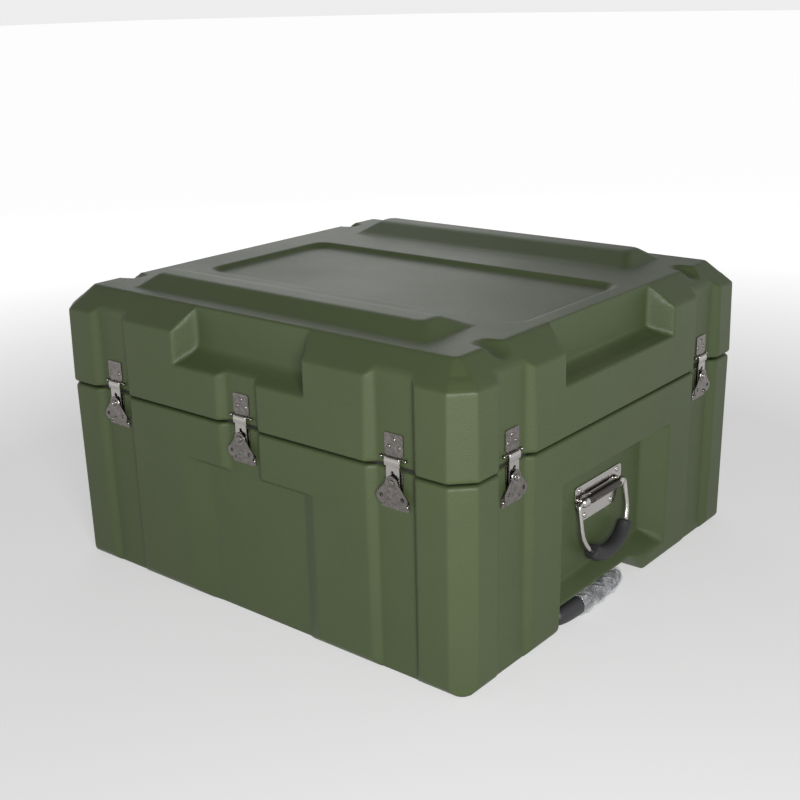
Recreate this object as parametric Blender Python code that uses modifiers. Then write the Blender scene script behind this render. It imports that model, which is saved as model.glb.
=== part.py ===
"""Hard equipment case: a drafted base and lift-off lid held by ten quarter-height twist latches,
with drop carry handles on both ends, a pull-out handle in a tunnel under the +X end
and two small wheels under the -X end.

Metres. +Z is up, the origin is on the floor under the middle of the case, +X is the pull-handle end
and -Y is the front.
"""
import math

import bmesh
import bpy
from mathutils import Matrix, Vector

# Case, half sizes along X and Y
LID_HALF_X = 0.400
LID_HALF_Y = 0.384
BASE_INSET = 0.0017             # how far the base stands inside the lid
CORNER_CUT = 0.0293             # corner facets, measured along each side
LID_DRAFT = 0.0169              # inward lean per metre of height
BASE_DRAFT = 0.0048
PARTING = 0.300                 # height of the joint line
RIM_GAP = 0.0018                # half the slot between the two rims
RIM_EDGE = 0.004                # edge break of the rims
SHOULDER = 0.420                # where the lid's top chamfer starts
CHAMFER_RUN = 0.040
LID_TOP = 0.454
RAIL_TOP = 0.474
BOTTOM_EDGE = 0.0095            # edge break along the floor, and its height
BOTTOM_RISE = 0.011
WALL = 0.006
FLANGE = 0.024                  # width of the rim flange, from the outer face
GASKET_LINE = 0.018             # from the outer face to the middle of the gasket
GASKET_WIDTH = 0.005
GAP = 0.0003                    # clearance between touching pieces

# Latch channels: a flat floor with 45 degree sides
CHANNEL_DEPTH = 0.012
CHANNEL_SIDE = 0.013
FRONT_CHANNEL_HALF = 0.0435
MIDDLE_CHANNEL_HALF = 0.0428
END_CHANNEL_HALF = 0.0445
FRONT_CHANNEL_AT = 0.279
END_CHANNEL_AT = 0.268
MIDDLE_CHANNEL_LOW = 0.215
MIDDLE_CHANNEL_HIGH = 0.376

# Latch, heights measured from the wing's axis
LATCH_AXIS_Z = 0.282
POST_RADIUS = 0.0026
POST_BORE = 0.00295
CRANK = 0.005                   # crank pin's distance from the axis
HOOK_LIFT = 0.010

# Carry handles, heights measured from the bail's axis
HANDLE_WALL = 0.362             # the end recess's floor
HANDLE_Z = 0.165
BARREL_OUT = 0.0084             # bail axis, out from the wall
BAIL_RADIUS = 0.004
BAIL_HALF = 0.066
BAIL_LEG = 0.038
BAIL_BOW = 0.0553
BAIL_TILT = math.radians(8)
SLEEVE_RADIUS = 0.0115
SLEEVE_BORE = 0.0045
SLEEVE_FROM = math.radians(-44)
SLEEVE_TO = math.radians(60)

# Pull handle in its tunnel
PULL_Y = -0.0585
PULL_Z = 0.0195
ROD_SPREAD = 0.072
ROD_RADIUS = 0.0070
TUBE_RADIUS = 0.0100
TUBE_BORE = 0.0075
TUBE_FROM = -0.080
TUBE_TO = 0.372
ROD_FROM = -0.060
GRIP_HALF = 0.091
TUNNEL_TOP = 0.036
TUNNEL_NEAR = -0.158
TUNNEL_FAR = 0.065
TUNNEL_FAR_FOOT = 0.105
TUNNEL_FROM = -0.095

# Wheels
WHEEL_X = -0.368
WHEEL_Y = 0.3335
WHEEL_Z = 0.032
WHEEL_RADIUS = 0.030
WHEEL_HALF = 0.012
AXLE_RADIUS = 0.004
WELL_HALF = 0.0157
WELL_TOP = 0.068
WELL_FROM = -0.332
KICK_X = -0.3875
KICK_Z = 0.021

# Turn of each wall's own frame, in which X runs along the wall and -Y points out of it
SIDES = {"front": 0.0, "right": math.pi / 2, "back": math.pi, "left": -math.pi / 2}
LATCHES = {
    "front_left": ("front", -FRONT_CHANNEL_AT),
    "front_middle": ("front", 0.0),
    "front_right": ("front", FRONT_CHANNEL_AT),
    "back_left": ("back", FRONT_CHANNEL_AT),
    "back_middle": ("back", 0.0),
    "back_right": ("back", -FRONT_CHANNEL_AT),
    "right_front": ("right", -END_CHANNEL_AT),
    "right_back": ("right", END_CHANNEL_AT),
    "left_front": ("left", END_CHANNEL_AT),
    "left_back": ("left", -END_CHANNEL_AT),
}

for old in list(bpy.data.objects):
    bpy.data.objects.remove(old, do_unlink=True)

CASE = bpy.data.collections.new("equipment_case")
CUTTERS = bpy.data.collections.new("cutters")
for group in (CASE, CUTTERS):
    bpy.context.scene.collection.children.link(group)


def material(name, colour, roughness, metallic):
    """Plain finish with one colour."""
    made = bpy.data.materials.new(name)
    made.use_nodes = True
    shader = made.node_tree.nodes["Principled BSDF"]
    shader.inputs["Base Color"].default_value = (*colour, 1.0)
    shader.inputs["Roughness"].default_value = roughness
    shader.inputs["Metallic"].default_value = metallic
    return made


OLIVE = material("olive_polyethylene", (0.072, 0.102, 0.042), 0.48, 0.0)
STEEL = material("plated_steel", (0.62, 0.60, 0.57), 0.25, 1.0)
TUBE_STEEL = material("tube_aluminium", (0.60, 0.61, 0.63), 0.35, 1.0)
BLACK = material("black_rubber", (0.018, 0.018, 0.020), 0.62, 0.0)
SEAL = material("grey_seal", (0.06, 0.06, 0.06), 0.70, 0.0)


# ---------------------------------------------------------------- making and joining

def put(name, mesh, finish=None, matrix=None):
    """Object of a piece in the case's collection, or of a cutter when it has no finish."""
    obj = bpy.data.objects.new(name, mesh)
    if matrix is not None:
        obj.matrix_world = matrix
    if finish is None:
        CUTTERS.objects.link(obj)
        obj.hide_render = True
        obj.display_type = "WIRE"
    else:
        CASE.objects.link(obj)
        if not mesh.materials:
            mesh.materials.append(finish)
    return obj


def mesh_of(name, bm):
    """Mesh from a bmesh whose faces are turned outwards."""
    bmesh.ops.recalc_face_normals(bm, faces=bm.faces)
    mesh = bpy.data.meshes.new(name)
    bm.to_mesh(mesh)
    bm.free()
    return mesh


def loft(name, rings):
    """Closed form whose skin runs through rings of equal point count, flat at both ends."""
    bm = bmesh.new()
    rows = [[bm.verts.new(point) for point in ring] for ring in rings]
    for low, high in zip(rows, rows[1:]):
        for i in range(len(low)):
            j = (i + 1) % len(low)
            bm.faces.new((low[i], low[j], high[j], high[i]))
    bm.faces.new(rows[0][::-1])
    bm.faces.new(rows[-1])
    return mesh_of(name, bm)


def box(name, low, high):
    """Box between two corners."""
    bm = bmesh.new()
    bmesh.ops.create_cube(bm, size=1)
    size = [b - a for a, b in zip(low, high)]
    middle = [(a + b) / 2 for a, b in zip(low, high)]
    bmesh.ops.scale(bm, vec=size, verts=bm.verts)
    bmesh.ops.translate(bm, vec=middle, verts=bm.verts)
    return mesh_of(name, bm)


def rod(name, start, end, radius, end_radius=None, segments=12):
    """Cylinder, or a cone's frustum, from start to end."""
    start, end = Vector(start), Vector(end)
    bm = bmesh.new()
    bmesh.ops.create_cone(bm, cap_ends=True, segments=segments, radius1=radius,
                          radius2=radius if end_radius is None else end_radius,
                          depth=(end - start).length)
    turn = (end - start).to_track_quat("Z", "Y").to_matrix().to_4x4()
    bmesh.ops.transform(bm, matrix=Matrix.Translation((start + end) / 2) @ turn, verts=bm.verts)
    return mesh_of(name, bm)


def ball(name, centre, radius):
    """Small round end."""
    bm = bmesh.new()
    bmesh.ops.create_uvsphere(bm, u_segments=6, v_segments=4, radius=radius)
    bmesh.ops.translate(bm, vec=centre, verts=bm.verts)
    return mesh_of(name, bm)


def meshed_curve(name, curve, matrix):
    """Mesh of a curve, with its loose caps welded on and its place applied."""
    guide = bpy.data.objects.new(name, curve)
    CUTTERS.objects.link(guide)
    guide.matrix_world = matrix
    depsgraph = bpy.context.evaluated_depsgraph_get()
    mesh = bpy.data.meshes.new_from_object(guide.evaluated_get(depsgraph))
    bm = bmesh.new()
    bm.from_mesh(mesh)
    bmesh.ops.remove_doubles(bm, verts=bm.verts, dist=0.000001)
    bm.transform(guide.matrix_world)
    bm.to_mesh(mesh)
    bm.free()
    bpy.data.objects.remove(guide, do_unlink=True)
    return mesh


def plate(name, outlines, low, high):
    """Flat plate on a wall, from low to high out of it. The first outline is its edge in wall
    coordinates (along, up), and the others are its holes."""
    curve = bpy.data.curves.new(name, "CURVE")
    curve.dimensions = "2D"
    curve.fill_mode = "BOTH"
    curve.extrude = (high - low) / 2
    for outline in outlines:
        spline = curve.splines.new("POLY")
        spline.points.add(len(outline) - 1)
        for point, (x, y) in zip(spline.points, outline):
            point.co = (x, y, 0, 1)
        spline.use_cyclic_u = True
    stand = Matrix.Translation((0, -(low + high) / 2, 0)) @ Matrix.Rotation(math.pi / 2, 4, "X")
    return meshed_curve(name, curve, stand)


def wire(name, points, radius, resolution=2):
    """Round bar along a line of points."""
    curve = bpy.data.curves.new(name, "CURVE")
    curve.dimensions = "3D"
    curve.bevel_depth = radius
    curve.bevel_resolution = resolution
    curve.use_fill_caps = True
    spline = curve.splines.new("POLY")
    spline.points.add(len(points) - 1)
    for point, co in zip(spline.points, points):
        point.co = (*co, 1)
    return meshed_curve(name, curve, Matrix.Identity(4))


def combined(name, body, adds=(), cuts=()):
    """Mesh of one body with others joined to it and then others cut from it."""
    work = put(name, body)
    helpers = []
    for operation, meshes in (("UNION", adds), ("DIFFERENCE", cuts)):
        for mesh in meshes:
            helper = put(name + "_tool", mesh)
            helpers.append(helper)
            step = work.modifiers.new(operation.lower(), "BOOLEAN")
            step.operation = operation
            step.object = helper
    depsgraph = bpy.context.evaluated_depsgraph_get()
    mesh = bpy.data.meshes.new_from_object(work.evaluated_get(depsgraph))
    mesh.name = name
    for helper in [work] + helpers:
        bpy.data.objects.remove(helper, do_unlink=True)
    return mesh


def cut_by(obj, cutters, operation="DIFFERENCE"):
    """Boolean modifiers on an object, one for each cutter."""
    for cutter in cutters:
        step = obj.modifiers.new(cutter.name, "BOOLEAN")
        step.operation = operation
        step.object = cutter


def arc(x, y, radius, start, end, steps):
    """Points on an arc, angles in degrees."""
    angles = [math.radians(start + (end - start) * i / steps) for i in range(steps + 1)]
    return [(x + radius * math.cos(t), y + radius * math.sin(t)) for t in angles]


def circle(x, y, radius, steps=10):
    """Points round a circle, the last one not repeated."""
    return arc(x, y, radius, 0, 360, steps)[:-1]


def rounded(corners, steps=3):
    """Polygon through corners (x, y, radius), given clockwise or anticlockwise, with arcs at them."""
    points = []
    for i, (x, y, radius) in enumerate(corners):
        here = Vector((x, y))
        back = (Vector(corners[i - 1][:2]) - here).normalized()
        ahead = (Vector(corners[(i + 1) % len(corners)][:2]) - here).normalized()
        half = back.angle(ahead) / 2
        centre = here + (back + ahead).normalized() * radius / math.sin(half)
        first = here + back * radius / math.tan(half) - centre
        last = here + ahead * radius / math.tan(half) - centre
        start = math.atan2(first.y, first.x)
        turn = (math.atan2(last.y, last.x) - start + math.pi) % (2 * math.pi) - math.pi
        for k in range(steps + 1):
            angle = start + turn * k / steps
            points.append((centre.x + radius * math.cos(angle), centre.y + radius * math.sin(angle)))
    return points


def octagon(half_x, half_y, cut, z):
    """Rectangle with cut corners, at height z."""
    return [(half_x, -half_y + cut, z), (half_x, half_y - cut, z), (half_x - cut, half_y, z),
            (-half_x + cut, half_y, z), (-half_x, half_y - cut, z), (-half_x, -half_y + cut, z),
            (-half_x + cut, -half_y, z), (half_x - cut, -half_y, z)]


def on_side(mesh, side):
    """Turns a mesh made at the front wall to another wall."""
    mesh.transform(Matrix.Rotation(SIDES[side], 4, "Z"))
    return mesh


# ---------------------------------------------------------------- recess cutters
# Each is made with grow = 0 for the outer skin and grow = WALL for the skin inside it.

def channel(side, along, half, low, high, grow):
    """Latch channel as a prism in front of the wall, wider towards the outside."""
    floor = (LID_HALF_Y if side in ("front", "back") else LID_HALF_X) - CHANNEL_DEPTH - grow
    inner = half - CHANNEL_SIDE + grow * math.tan(math.pi / 8)
    reach = 0.030
    outer = inner + reach * CHANNEL_SIDE / CHANNEL_DEPTH
    outline = [(along - inner, -floor), (along + inner, -floor),
               (along + outer, -floor - reach), (along - outer, -floor - reach)]
    rings = [[(x, y, z) for x, y in outline] for z in (low, high)]
    return on_side(loft("channel", rings), side)


def wall_recess(side, depths, lefts, rights, lows, highs):
    """Recess in a wall through two upright rings, the inner one first. Each ring has its distance
    from the middle of the case, its reach to both sides and its lower and upper height."""
    rings = []
    for far in (0.0, 2.5):
        depth, left, right, low, high = (a + (b - a) * far for a, b in
                                         (depths, lefts, rights, lows, highs))
        rings.append([(-left, -depth, low), (right, -depth, low), (right, -depth, high),
                      (-left, -depth, high)])
    return on_side(loft("recess", rings), side)


def lid_recess(side, grow):
    """Hand recess in the lid's wall, open at the top, with an outward sloping floor."""
    if side in ("front", "back"):
        depths, halves, floors = (0.345, 0.382), (0.113, 0.131), (0.388, 0.370)
    else:
        depths, halves, floors = (0.359, 0.398), (0.137, 0.154), (0.384, 0.3735)
    reach = [h + grow for h in halves]
    return wall_recess(side, [d - grow for d in depths], reach, reach, [z - grow for z in floors],
                       (0.490, 0.490))


def base_panel(side, grow):
    """Shallow panel in the base's long wall, open at the bottom, with one broad sloping flank."""
    return wall_recess(side, [d - grow for d in (0.3705, 0.3823)], (0.075, 0.1275), (0.113, 0.141),
                       (-0.020, -0.020), [z + grow for z in (0.222, 0.231)])


def base_end_recess(side, grow):
    """Deep recess in the base's end wall for the carry handle, above an outward sloping sill."""
    reach = [h + grow for h in (0.130, 0.155)]
    return wall_recess(side, [d - grow for d in (HANDLE_WALL, 0.3983)], reach, reach,
                       [z - grow for z in (0.055, 0.030)], [z + grow for z in (0.222, 0.231)])


def tunnel(grow):
    """Tunnel under the base for the pull handle; its far side slopes out to the floor."""
    slope = (TUNNEL_FAR_FOOT - TUNNEL_FAR) / TUNNEL_TOP
    below = 0.020
    outline = [(TUNNEL_NEAR - grow, -below), (TUNNEL_NEAR - grow, TUNNEL_TOP + grow),
               (TUNNEL_FAR + grow * 0.4, TUNNEL_TOP + grow),
               (TUNNEL_FAR_FOOT + grow * 1.4 + slope * below, -below)]
    rings = [[(x, y, z) for y, z in outline] for x in (TUNNEL_FROM - grow, 0.430)]
    return loft("tunnel", rings)


def wheel_well(side, grow):
    """Slot for one wheel in the bottom edge of the -X end."""
    middle = WHEEL_Y * side
    half = WELL_HALF + grow
    return box("wheel_well", (-0.430, middle - half, -0.020), (WELL_FROM + grow, middle + half, WELL_TOP + grow))


def kick_up(grow):
    """Step along the bottom edge of the -X end, which lets the case tip onto its wheels."""
    outline = [(-0.430, -0.020), (-0.430, KICK_Z + grow), (KICK_X + grow, KICK_Z + grow),
               (KICK_X + 0.008 + grow, -0.020)]
    return loft("kick_up", [[(x, y, z) for x, z in outline] for y in (-0.400, 0.400)])


def top_panel(grow):
    """Shallow panel in the lid's top between the rails."""
    middle_x, middle_y, half_x, half_y, side = 0.021, -0.028, 0.308, 0.140, 0.008
    bottom = LID_TOP - 0.008 - grow
    rings = [octagon(half_x - side + grow, half_y - side + grow, 0.024, bottom),
             octagon(half_x + side + grow, half_y + side + grow, 0.030, bottom + 0.016)]
    return loft("top_panel", [[(x + middle_x, y + middle_y, z) for x, y, z in ring] for ring in rings])


def corner_pocket(side_x, side_y, grow):
    """Scooped notch in the lid's top edge that leads into a rail's end."""
    outline = [(0.328, 0.4545 - grow), (0.379, 0.4385 - grow), (0.405, 0.4385 - grow),
               (0.405, 0.480), (0.328, 0.480)]
    return loft("pocket", [[(side_x * x, side_y * y, z) for x, z in outline]
                           for y in (0.244 - grow, 0.288 + grow)])


def all_channels(low, high, middle_low, middle_high, grow):
    """The ten latch channels between two heights."""
    made = []
    for side, along in LATCHES.values():
        if along == 0.0:
            made.append(channel(side, along, MIDDLE_CHANNEL_HALF, middle_low - grow,
                                middle_high + grow, grow))
        else:
            half = FRONT_CHANNEL_HALF if side in ("front", "back") else END_CHANNEL_HALF
            made.append(channel(side, along, half, low, high, grow))
    return made


# ---------------------------------------------------------------- shells

def half_sizes(shrink, draft, z):
    """Half sizes of a drafted wall at height z, measured from the joint line."""
    lean = shrink + draft * abs(z - PARTING)
    return LID_HALF_X - lean, LID_HALF_Y - lean


def lid_skin(shrink, bottom, edge):
    """The lid's outer form, moved in by shrink."""
    cut = CORNER_CUT - shrink * 0.586
    rings = []
    for z, extra in ((bottom, edge), (bottom + max(edge, 0.001), 0.0), (SHOULDER, 0.0)):
        rings.append(octagon(*[h - extra for h in half_sizes(shrink, LID_DRAFT, z)], cut, z))
    half_x, half_y = half_sizes(shrink, LID_DRAFT, SHOULDER)
    rings.append(octagon(half_x - CHAMFER_RUN, half_y - CHAMFER_RUN, 0.003, LID_TOP - shrink))
    return loft("lid_skin", rings)


def base_skin(shrink, top, edge):
    """The base's outer form, moved in by shrink. The edge break along the floor leaves the corner
    facets in their own planes."""
    cut = CORNER_CUT - shrink * 0.586
    rings = []
    for z, extra, narrowed in ((shrink, BOTTOM_EDGE, 2 * BOTTOM_EDGE), (shrink + BOTTOM_RISE, 0.0, 0.0),
                               (top - max(edge, 0.001), 0.0, 0.0), (top, edge, 0.0)):
        half = half_sizes(shrink + BASE_INSET, BASE_DRAFT, z)
        rings.append(octagon(*[h - extra for h in half], cut - narrowed, z))
    return loft("base_skin", rings)


def rail(side, shrink):
    """Stacking rail on the lid's top, a long ridge with sloping sides and ends."""
    bottom = LID_TOP - 0.010
    rings = []
    for z, half_x, inner, outer, cut in ((bottom, 0.297, 0.1805, 0.3330, 0.030),
                                         (RAIL_TOP - shrink, 0.262, 0.2495, 0.2865, 0.010)):
        half_y = (outer - inner) / 2 - shrink
        middle = side * (outer + inner) / 2
        rings.append([(x, y + middle, z) for x, y, z in octagon(half_x - shrink, half_y, cut, z)])
    return loft("rail", rings)


def hollow(low, high):
    """Opening inside the rim flange."""
    rings = [octagon(LID_HALF_X - FLANGE, LID_HALF_Y - FLANGE, CORNER_CUT, z) for z in (low, high)]
    return loft("hollow", rings)


def make_lid():
    bottom = PARTING + RIM_GAP
    shell = put("lid_shell", combined("lid_shell", lid_skin(0.0, bottom, RIM_EDGE),
                                      adds=[rail(1, 0.0), rail(-1, 0.0)]), OLIVE)
    inside = put("lid_inside", combined("lid_inside", lid_skin(WALL, bottom + WALL, 0.0),
                                        adds=[rail(1, WALL), rail(-1, WALL)]))
    for grow, obj in ((0.0, shell), (WALL, inside)):
        cutters = all_channels(0.280, 0.480, 0.280, MIDDLE_CHANNEL_HIGH, grow)
        cutters += [lid_recess(side, grow) for side in SIDES]
        cutters += [corner_pocket(x, y, grow) for x in (-1, 1) for y in (-1, 1)]
        cutters.append(top_panel(grow))
        cut_by(obj, [put(f"lid_{mesh.name}", mesh) for mesh in cutters])
    opening = put("lid_hollow", hollow(bottom - 0.010, bottom + WALL + 0.001))
    cut_by(shell, [inside, opening])


def make_base():
    top = PARTING - RIM_GAP
    shell = put("base_shell", base_skin(0.0, top, RIM_EDGE), OLIVE)
    inside = put("base_inside", base_skin(WALL, top - WALL, 0.0))
    for grow, obj in ((0.0, shell), (WALL, inside)):
        cutters = all_channels(-0.020, 0.320, MIDDLE_CHANNEL_LOW, 0.320, grow)
        cutters += [base_panel(side, grow) for side in ("front", "back")]
        cutters += [base_end_recess(side, grow) for side in ("right", "left")]
        cutters += [wheel_well(side, grow) for side in (-1, 1)]
        cutters += [tunnel(grow), kick_up(grow)]
        cut_by(obj, [put(f"base_{mesh.name}", mesh) for mesh in cutters])
    opening = put("base_hollow", hollow(top - WALL - 0.001, top + 0.010))
    cut_by(shell, [inside, opening])


def make_gasket():
    """Soft square ring between the rims, glued to the lid."""
    low, high = PARTING - RIM_GAP + GAP, PARTING + RIM_GAP - GAP
    forms = []
    for inset, extra in ((GASKET_LINE - GASKET_WIDTH / 2, 0.0), (GASKET_LINE + GASKET_WIDTH / 2, 0.001)):
        rings = [octagon(LID_HALF_X - inset, LID_HALF_Y - inset, CORNER_CUT, z)
                 for z in (low - extra, high + extra)]
        forms.append(loft("gasket_form", rings))
    put("lid_gasket", combined("lid_gasket", forms[0], cuts=forms[1:]), SEAL)


# ---------------------------------------------------------------- latches
# Made at the front wall with the channel floor at y = 0 and the wing's axis at the origin.

def rivet(x, z, base, radius=0.0032, height=0.0015):
    """Low domed rivet head that starts inside a plate's surface."""
    return rod("rivet", (x, -base + 0.0005, z), (x, -base - height, z), radius, radius * 0.6, 7)


def keeper_mesh():
    """Riveted plate on the lid whose lower edge is curled into a bar with round ends."""
    face = 0.0018
    edge = rounded([(0.0155, 0.066, 0.003), (0.0155, 0.038, 0.002), (0.012, 0.036, 0.001),
                    (0.012, 0.031, 0.0005), (-0.012, 0.031, 0.0005), (-0.012, 0.036, 0.001),
                    (-0.0155, 0.038, 0.002), (-0.0155, 0.066, 0.003)], 1)
    bar = rod("bar", (-0.020, -0.00165, 0.0325), (0.020, -0.00165, 0.0325), 0.00135, segments=6)
    ends = [ball("end", (x, -0.0029, 0.0325), 0.0026) for x in (-0.020, 0.020)]
    rivets = [rivet(0.0, 0.0575, face), rivet(0.0086, 0.0473, face), rivet(-0.0086, 0.0473, face)]
    return combined("keeper", plate("keeper", [edge], GAP, face), adds=[bar] + ends + rivets)


def latch_plate_mesh():
    """Riveted plate on the base that carries the wing's post."""
    face = 0.0018
    edge = rounded([(0.0140, 0.0155, 0.002), (0.0140, -0.018, 0.003), (0.0240, -0.024, 0.003),
                    (0.0240, -0.0385, 0.004), (-0.0240, -0.0385, 0.004), (-0.0240, -0.024, 0.003),
                    (-0.0140, -0.018, 0.003), (-0.0140, 0.0155, 0.002)], 1)
    post = rod("post", (0, -face + 0.0005, 0), (0, -0.0088, 0), POST_RADIUS, segments=10)
    head = rod("head", (0, -0.0084, 0), (0, -0.0096, 0), 0.0044, 0.0034, 10)
    rivets = [rivet(x, -0.0300, face, 0.0030, 0.0022) for x in (-0.0195, 0.0195)]
    return combined("latch_plate", plate("latch_plate", [edge], GAP, face), adds=[post, head] + rivets)


def hook_mesh():
    """Draw plate that the wing's crank pin lifts, with a curled end over the keeper's bar."""
    edge = rounded([(0.011, 0.0335, 0.002), (0.011, -0.019, 0.003), (-0.011, -0.019, 0.003),
                    (-0.011, 0.0335, 0.002)], 1)
    window = rounded([(0.0076, 0.0032, 0.001), (0.0076, -0.0132, 0.001), (-0.0076, -0.0132, 0.001),
                      (-0.0076, 0.0032, 0.001)], 1)
    lip = box("lip", (-0.0105, -0.0059, 0.0312), (0.0105, -0.0045, 0.0333))
    return combined("hook", plate("hook", [edge, window, circle(0, 0.0125, 0.0032, 8)], 0.0034, 0.0050),
                    adds=[lip])


def wing_mesh():
    """Butterfly wing: a hub on the post, two lobes with a hole each, and a crank pin behind."""
    lobe = 0.009
    edge = arc(0, 0, 0.009, 165, 15, 6)
    edge += arc(0.0172, -0.021, lobe, 62, -118, 7)
    edge += arc(0, -0.0370, 0.0145, 32, 148, 5)
    edge += arc(-0.0172, -0.021, lobe, -62, -242, 7)
    holes = [circle(x, -0.0195, 0.0030, 8) for x in (-0.0175, 0.0175)]
    flat = plate("wing", [edge, circle(0, 0, POST_BORE, 12)] + holes, 0.0063, 0.0081)
    pin = rod("pin", (0, -0.0034, -CRANK), (0, -0.0070, -CRANK), 0.0020, segments=10)
    return combined("wing", flat, adds=[pin])


def make_latches():
    meshes = {"keeper": keeper_mesh(), "latch_plate": latch_plate_mesh(), "hook": hook_mesh(),
              "wing": wing_mesh()}
    for where, (side, along) in LATCHES.items():
        wall = (LID_HALF_Y if side in ("front", "back") else LID_HALF_X) - CHANNEL_DEPTH
        place = Matrix.Rotation(SIDES[side], 4, "Z") @ Matrix.Translation((along, -wall, LATCH_AXIS_Z))
        for piece, mesh in meshes.items():
            put(f"{where}_{piece}", mesh, STEEL, place)


# ---------------------------------------------------------------- carry handles
# Made at the front wall with the wall at y = 0 and the bail's axis at height 0.

def handle_plate_mesh():
    """Screwed plate with a round barrel, domed at its ends, that holds the bail."""
    face = 0.0023
    edge = rounded([(0.067, 0.024, 0.006), (0.067, 0.004, 0.008), (0.0485, -0.035, 0.008),
                    (-0.0485, -0.035, 0.008), (-0.067, 0.004, 0.008), (-0.067, 0.024, 0.006)], 2)
    at = -BARREL_OUT
    barrel = rod("barrel", (-0.052, at, 0), (0.052, at, 0), 0.0076, segments=12)
    caps = [rod("cap", (s * 0.050, at, 0), (s * 0.060, at, 0), 0.0081, 0.0068, 12) for s in (-1, 1)]
    web = box("web", (-0.050, at, -0.006), (0.050, -0.0015, 0.006))
    screws = [rivet(x, z, face, 0.0042, 0.0018) for x, z in
              ((-0.054, 0.0175), (0.054, 0.0175), (-0.038, -0.0265), (0.038, -0.0265))]
    bore = rod("bore", (-0.070, at, 0), (0.070, at, 0), 0.0046, segments=12)
    return combined("handle_plate", plate("handle_plate", [edge], GAP, face),
                    adds=[web, barrel] + caps + screws, cuts=[bore])


def bail_point(angle):
    """Point on the bail's bowed end; angle 0 is its lowest point."""
    return Vector((BAIL_HALF * math.sin(angle), 0, -BAIL_LEG - BAIL_BOW * math.cos(angle)))


def swung_out(mesh):
    """Tilts a hanging piece away from the wall and puts it on the barrel's axis."""
    mesh.transform(Matrix.Translation((0, -BARREL_OUT, 0)) @ Matrix.Rotation(-BAIL_TILT, 4, "X"))
    return mesh


def bail_mesh():
    """Round steel bail: two ends inside the barrel, straight legs and a bowed bottom."""
    turn = 0.007
    end = [(0.040, 0, 0)]
    end += [(x, 0, z) for x, z in arc(BAIL_HALF - turn, -turn, turn, 90, 0, 3)]
    bow = [bail_point(math.radians(90 - 15 * i)) for i in range(13)]
    left = [(-x, y, z) for x, y, z in reversed(end)]
    return swung_out(wire("bail", end + [tuple(p) for p in bow] + left, BAIL_RADIUS))


def sleeve_mesh():
    """Thick soft sleeve round the bail's bottom."""
    steps = 8
    angles = [SLEEVE_FROM + (SLEEVE_TO - SLEEVE_FROM) * i / steps for i in range(steps + 1)]
    step = angles[1] - angles[0]
    long = [angles[0] - step / 4] + angles + [angles[-1] + step / 4]
    outer = wire("sleeve", [tuple(bail_point(a)) for a in angles], SLEEVE_RADIUS, 3)
    inner = wire("sleeve_bore", [tuple(bail_point(a)) for a in long], SLEEVE_BORE)
    return swung_out(combined("sleeve", outer, cuts=[inner]))


def make_carry_handles():
    pieces = {"handle_plate": (handle_plate_mesh(), STEEL), "handle_bail": (bail_mesh(), STEEL),
              "handle_sleeve": (sleeve_mesh(), BLACK)}
    for side in ("right", "left"):
        place = Matrix.Rotation(SIDES[side], 4, "Z") @ Matrix.Translation((0, -HANDLE_WALL, HANDLE_Z))
        for piece, (mesh, finish) in pieces.items():
            put(f"{side}_{piece}", mesh, finish, place)


# ---------------------------------------------------------------- pull handle

def make_pull_handle():
    """Two rods that slide in fixed tubes, joined outside by a bowed grip."""
    for where, y in (("front", PULL_Y - ROD_SPREAD), ("back", PULL_Y + ROD_SPREAD)):
        tube = rod("tube", (TUBE_FROM, y, PULL_Z), (TUBE_TO, y, PULL_Z), TUBE_RADIUS, segments=12)
        bore = rod("bore", (TUBE_FROM - 0.01, y, PULL_Z), (TUBE_TO + 0.01, y, PULL_Z), TUBE_BORE,
                   segments=12)
        saddles = [box("saddle", (x - 0.010, y - 0.012, PULL_Z + 0.002),
                       (x + 0.010, y + 0.012, TUNNEL_TOP - GAP)) for x in (-0.050, 0.150, 0.340)]
        put(f"pull_tube_{where}", combined("pull_tube", tube, adds=saddles, cuts=[bore]), TUBE_STEEL)
        put(f"pull_rod_{where}", rod("pull_rod", (ROD_FROM, y, PULL_Z), (0.3875, y, PULL_Z),
                                     ROD_RADIUS, segments=12), TUBE_STEEL)
    rings = []
    stations = 9
    for i in range(stations):
        along = 2 * i / (stations - 1) - 1
        slim = 1 - 0.35 * along ** 6
        middle = 0.3885 - 0.004 * along ** 2
        rings.append([(middle + 0.0115 * slim * math.cos(t), PULL_Y + GRIP_HALF * along,
                       PULL_Z + 0.015 * slim * math.sin(t))
                      for t in (2 * math.pi * k / 10 for k in range(10))])
    sockets = [rod("socket", (0.360, PULL_Y + s * ROD_SPREAD, PULL_Z),
                   (0.388, PULL_Y + s * ROD_SPREAD, PULL_Z), TUBE_BORE, segments=12) for s in (-1, 1)]
    put("pull_grip", combined("pull_grip", loft("pull_grip", rings), cuts=sockets), BLACK)


# ---------------------------------------------------------------- wheels

def turned(name, profile, segments):
    """Ring turned about the Y axis from a closed profile of (radius, height) points."""
    mesh = bpy.data.meshes.new(name)
    edges = [(i, (i + 1) % len(profile)) for i in range(len(profile))]
    mesh.from_pydata([(r, 0, z) for r, z in profile], edges, [])
    guide = put(name, mesh)
    screw = guide.modifiers.new("turn", "SCREW")
    screw.steps = screw.render_steps = segments
    screw.use_merge_vertices = True
    screw.merge_threshold = 0.0001
    depsgraph = bpy.context.evaluated_depsgraph_get()
    made = bpy.data.meshes.new_from_object(guide.evaluated_get(depsgraph))
    made.transform(Matrix.Rotation(math.pi / 2, 4, "X"))
    bpy.data.objects.remove(guide, do_unlink=True)
    return made


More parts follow.
